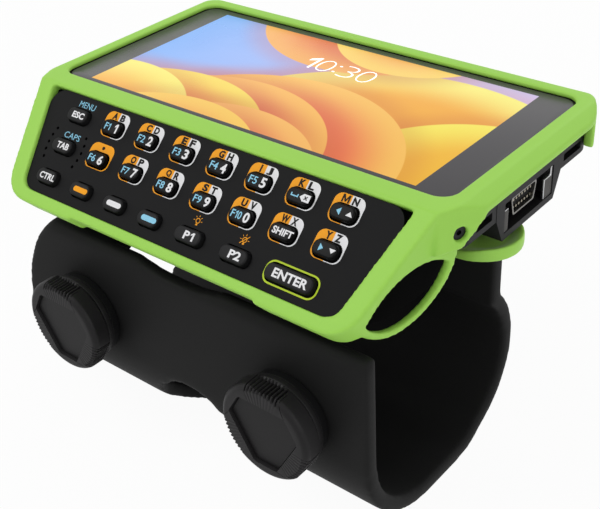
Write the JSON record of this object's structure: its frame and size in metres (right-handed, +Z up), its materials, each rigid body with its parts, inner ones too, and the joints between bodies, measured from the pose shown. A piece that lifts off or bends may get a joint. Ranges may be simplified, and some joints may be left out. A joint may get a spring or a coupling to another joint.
{
  "type": "arm-worn data terminal",
  "caption": "Arm-worn data terminal: landscape display and sloped keypad in a lime rubber boot, on a black cuff tightened by ratchet dials.",
  "frame": {"origin": "middle of the cuff's flat base", "axes": "+X along the arm towards the connector side, +Y to the rear, +Z up out of the display"},
  "size_m": [0.1448, 0.1075, 0.0942],
  "materials": {
    "cuff_rubber": "soft matt",
    "black_plastic": "fine grain",
    "steel": "satin",
    "spring_steel": "satin",
    "battery": "matt",
    "circuit_board": "satin",
    "display": "lit panel",
    "connector_plastic": "matt",
    "contact_brass": "bright",
    "speaker": "matt",
    "silicone": "matt",
    "keypad_plate": "satin",
    "boot_rubber": "soft satin",
    "lever_plastic": "satin",
    "key_plastic": "satin gloss",
    "dial_base": "matt",
    "spool_plastic": "matt",
    "knob_plastic": "soft satin",
    "knob_cap": "satin",
    "cover_glass": "gloss, dark border"
  },
  "bodies": {
    "cuff_and_terminal": {"arm_cuff": "cuff_rubber", "mount_plate": "black_plastic", "mount_screws": "steel", "lever_pin": "steel", "lever_spring": "spring_steel", "mount_shoe": "black_plastic", "terminal_housing": "black_plastic", "battery_pack": "battery", "battery_cover": "black_plastic", "main_board": "circuit_board", "display_module": "display", "cover_glass": "cover_glass", "connector_shell": "steel", "connector_insert": "connector_plastic", "connector_contacts": "contact_brass", "connector_brackets": "steel", "keypad_housing": "black_plastic", "keypad_board": "circuit_board", "speaker": "speaker", "key_mat": "silicone", "keypad_plate": "keypad_plate", "rubber_boot": "boot_rubber", "boot_screws": "steel", "dial_base_left": "dial_base", "dial_backplate_left": "steel", "dial_base_right": "dial_base", "dial_backplate_right": "steel"},
    "key_1_button": {"key_1": "key_plastic"},
    "key_2_button": {"key_2": "key_plastic"},
    "key_3_button": {"key_3": "key_plastic"},
    "key_4_button": {"key_4": "key_plastic"},
    "key_5_button": {"key_5": "key_plastic"},
    "key_backspace_button": {"key_backspace": "key_plastic"},
    "key_up_button": {"key_up": "key_plastic"},
    "key_6_button": {"key_6": "key_plastic"},
    "key_7_button": {"key_7": "key_plastic"},
    "key_8_button": {"key_8": "key_plastic"},
    "key_9_button": {"key_9": "key_plastic"},
    "key_0_button": {"key_0": "key_plastic"},
    "key_shift_button": {"key_shift": "key_plastic"},
    "key_down_button": {"key_down": "key_plastic"},
    "key_orange_button": {"key_orange": "key_plastic"},
    "key_white_button": {"key_white": "key_plastic"},
    "key_blue_button": {"key_blue": "key_plastic"},
    "key_esc_button": {"key_esc": "key_plastic"},
    "key_tab_button": {"key_tab": "key_plastic"},
    "key_ctrl_button": {"key_ctrl": "key_plastic"},
    "key_p1_button": {"key_p1": "key_plastic"},
    "key_p2_button": {"key_p2": "key_plastic"},
    "key_enter_button": {"key_enter": "key_plastic"},
    "lever": {"release_lever": "lever_plastic"},
    "spool_left": {"dial_spool_left": "spool_plastic"},
    "knob_left": {"dial_knob_left": "knob_plastic", "dial_cap_left": "knob_cap", "dial_spindle_left": "steel"},
    "spool_right": {"dial_spool_right": "spool_plastic"},
    "knob_right": {"dial_knob_right": "knob_plastic", "dial_cap_right": "knob_cap", "dial_spindle_right": "steel"}
  },
  "joints": [
    {"name": "key_1_press", "type": "slide", "parent": "cuff_and_terminal", "child": "key_1_button", "axis": [0, 0.6794, -0.7337], "range_m": [0, 0.0008], "stiffness_N_per_m": 400, "springref_m": -0.0005},
    {"name": "key_2_press", "type": "slide", "parent": "cuff_and_terminal", "child": "key_2_button", "axis": [0, 0.6794, -0.7337], "range_m": [0, 0.0008], "stiffness_N_per_m": 400, "springref_m": -0.0005},
    {"name": "key_3_press", "type": "slide", "parent": "cuff_and_terminal", "child": "key_3_button", "axis": [0, 0.6794, -0.7337], "range_m": [0, 0.0008], "stiffness_N_per_m": 400, "springref_m": -0.0005},
    {"name": "key_4_press", "type": "slide", "parent": "cuff_and_terminal", "child": "key_4_button", "axis": [0, 0.6794, -0.7337], "range_m": [0, 0.0008], "stiffness_N_per_m": 400, "springref_m": -0.0005},
    {"name": "key_5_press", "type": "slide", "parent": "cuff_and_terminal", "child": "key_5_button", "axis": [0, 0.6794, -0.7337], "range_m": [0, 0.0008], "stiffness_N_per_m": 400, "springref_m": -0.0005},
    {"name": "key_backspace_press", "type": "slide", "parent": "cuff_and_terminal", "child": "key_backspace_button", "axis": [0, 0.6794, -0.7337], "range_m": [0, 0.0008], "stiffness_N_per_m": 400, "springref_m": -0.0005},
    {"name": "key_up_press", "type": "slide", "parent": "cuff_and_terminal", "child": "key_up_button", "axis": [0, 0.6794, -0.7337], "range_m": [0, 0.0008], "stiffness_N_per_m": 400, "springref_m": -0.0005},
    {"name": "key_6_press", "type": "slide", "parent": "cuff_and_terminal", "child": "key_6_button", "axis": [0, 0.6794, -0.7337], "range_m": [0, 0.0008], "stiffness_N_per_m": 400, "springref_m": -0.0005},
    {"name": "key_7_press", "type": "slide", "parent": "cuff_and_terminal", "child": "key_7_button", "axis": [0, 0.6794, -0.7337], "range_m": [0, 0.0008], "stiffness_N_per_m": 400, "springref_m": -0.0005},
    {"name": "key_8_press", "type": "slide", "parent": "cuff_and_terminal", "child": "key_8_button", "axis": [0, 0.6794, -0.7337], "range_m": [0, 0.0008], "stiffness_N_per_m": 400, "springref_m": -0.0005},
    {"name": "key_9_press", "type": "slide", "parent": "cuff_and_terminal", "child": "key_9_button", "axis": [0, 0.6794, -0.7337], "range_m": [0, 0.0008], "stiffness_N_per_m": 400, "springref_m": -0.0005},
    {"name": "key_0_press", "type": "slide", "parent": "cuff_and_terminal", "child": "key_0_button", "axis": [0, 0.6794, -0.7337], "range_m": [0, 0.0008], "stiffness_N_per_m": 400, "springref_m": -0.0005},
    {"name": "key_shift_press", "type": "slide", "parent": "cuff_and_terminal", "child": "key_shift_button", "axis": [0, 0.6794, -0.7337], "range_m": [0, 0.0008], "stiffness_N_per_m": 400, "springref_m": -0.0005},
    {"name": "key_down_press", "type": "slide", "parent": "cuff_and_terminal", "child": "key_down_button", "axis": [0, 0.6794, -0.7337], "range_m": [0, 0.0008], "stiffness_N_per_m": 400, "springref_m": -0.0005},
    {"name": "key_orange_press", "type": "slide", "parent": "cuff_and_terminal", "child": "key_orange_button", "axis": [0, 0.6794, -0.7337], "range_m": [0, 0.0008], "stiffness_N_per_m": 400, "springref_m": -0.0005},
    {"name": "key_white_press", "type": "slide", "parent": "cuff_and_terminal", "child": "key_white_button", "axis": [0, 0.6794, -0.7337], "range_m": [0, 0.0008], "stiffness_N_per_m": 400, "springref_m": -0.0005},
    {"name": "key_blue_press", "type": "slide", "parent": "cuff_and_terminal", "child": "key_blue_button", "axis": [0, 0.6794, -0.7337], "range_m": [0, 0.0008], "stiffness_N_per_m": 400, "springref_m": -0.0005},
    {"name": "key_esc_press", "type": "slide", "parent": "cuff_and_terminal", "child": "key_esc_button", "axis": [0, 0.6794, -0.7337], "range_m": [0, 0.0008], "stiffness_N_per_m": 400, "springref_m": -0.0005},
    {"name": "key_tab_press", "type": "slide", "parent": "cuff_and_terminal", "child": "key_tab_button", "axis": [0, 0.6794, -0.7337], "range_m": [0, 0.0008], "stiffness_N_per_m": 400, "springref_m": -0.0005},
    {"name": "key_ctrl_press", "type": "slide", "parent": "cuff_and_terminal", "child": "key_ctrl_button", "axis": [0, 0.6794, -0.7337], "range_m": [0, 0.0008], "stiffness_N_per_m": 400, "springref_m": -0.0005},
    {"name": "key_p1_press", "type": "slide", "parent": "cuff_and_terminal", "child": "key_p1_button", "axis": [0, 0.6794, -0.7337], "range_m": [0, 0.0008], "stiffness_N_per_m": 400, "springref_m": -0.0005},
    {"name": "key_p2_press", "type": "slide", "parent": "cuff_and_terminal", "child": "key_p2_button", "axis": [0, 0.6794, -0.7337], "range_m": [0, 0.0008], "stiffness_N_per_m": 400, "springref_m": -0.0005},
    {"name": "key_enter_press", "type": "slide", "parent": "cuff_and_terminal", "child": "key_enter_button", "axis": [0, 0.6794, -0.7337], "range_m": [0, 0.0008], "stiffness_N_per_m": 400, "springref_m": -0.0005},
    {"name": "lever_press", "type": "hinge", "parent": "cuff_and_terminal", "child": "lever", "pos_m": [0.026, 0.01225, 0.0689], "axis": [0, 1, 0], "range_deg": [0, 4], "stiffness_Nm_per_rad": 0.5, "springref_deg": -2.86},
    {"name": "dial_turn_left", "type": "hinge", "parent": "cuff_and_terminal", "child": "spool_left", "pos_m": [-0.0374, -0.045, 0.036], "axis": [0, -1, 0], "continuous": true},
    {"name": "dial_pull_left", "type": "slide", "parent": "spool_left", "child": "knob_left", "axis": [0, -1, 0], "range_m": [0, 0.0025]},
    {"name": "dial_turn_right", "type": "hinge", "parent": "cuff_and_terminal", "child": "spool_right", "pos_m": [0.0374, -0.045, 0.036], "axis": [0, -1, 0], "continuous": true},
    {"name": "dial_pull_right", "type": "slide", "parent": "spool_right", "child": "knob_right", "axis": [0, -1, 0], "range_m": [0, 0.0025]}
  ]
}
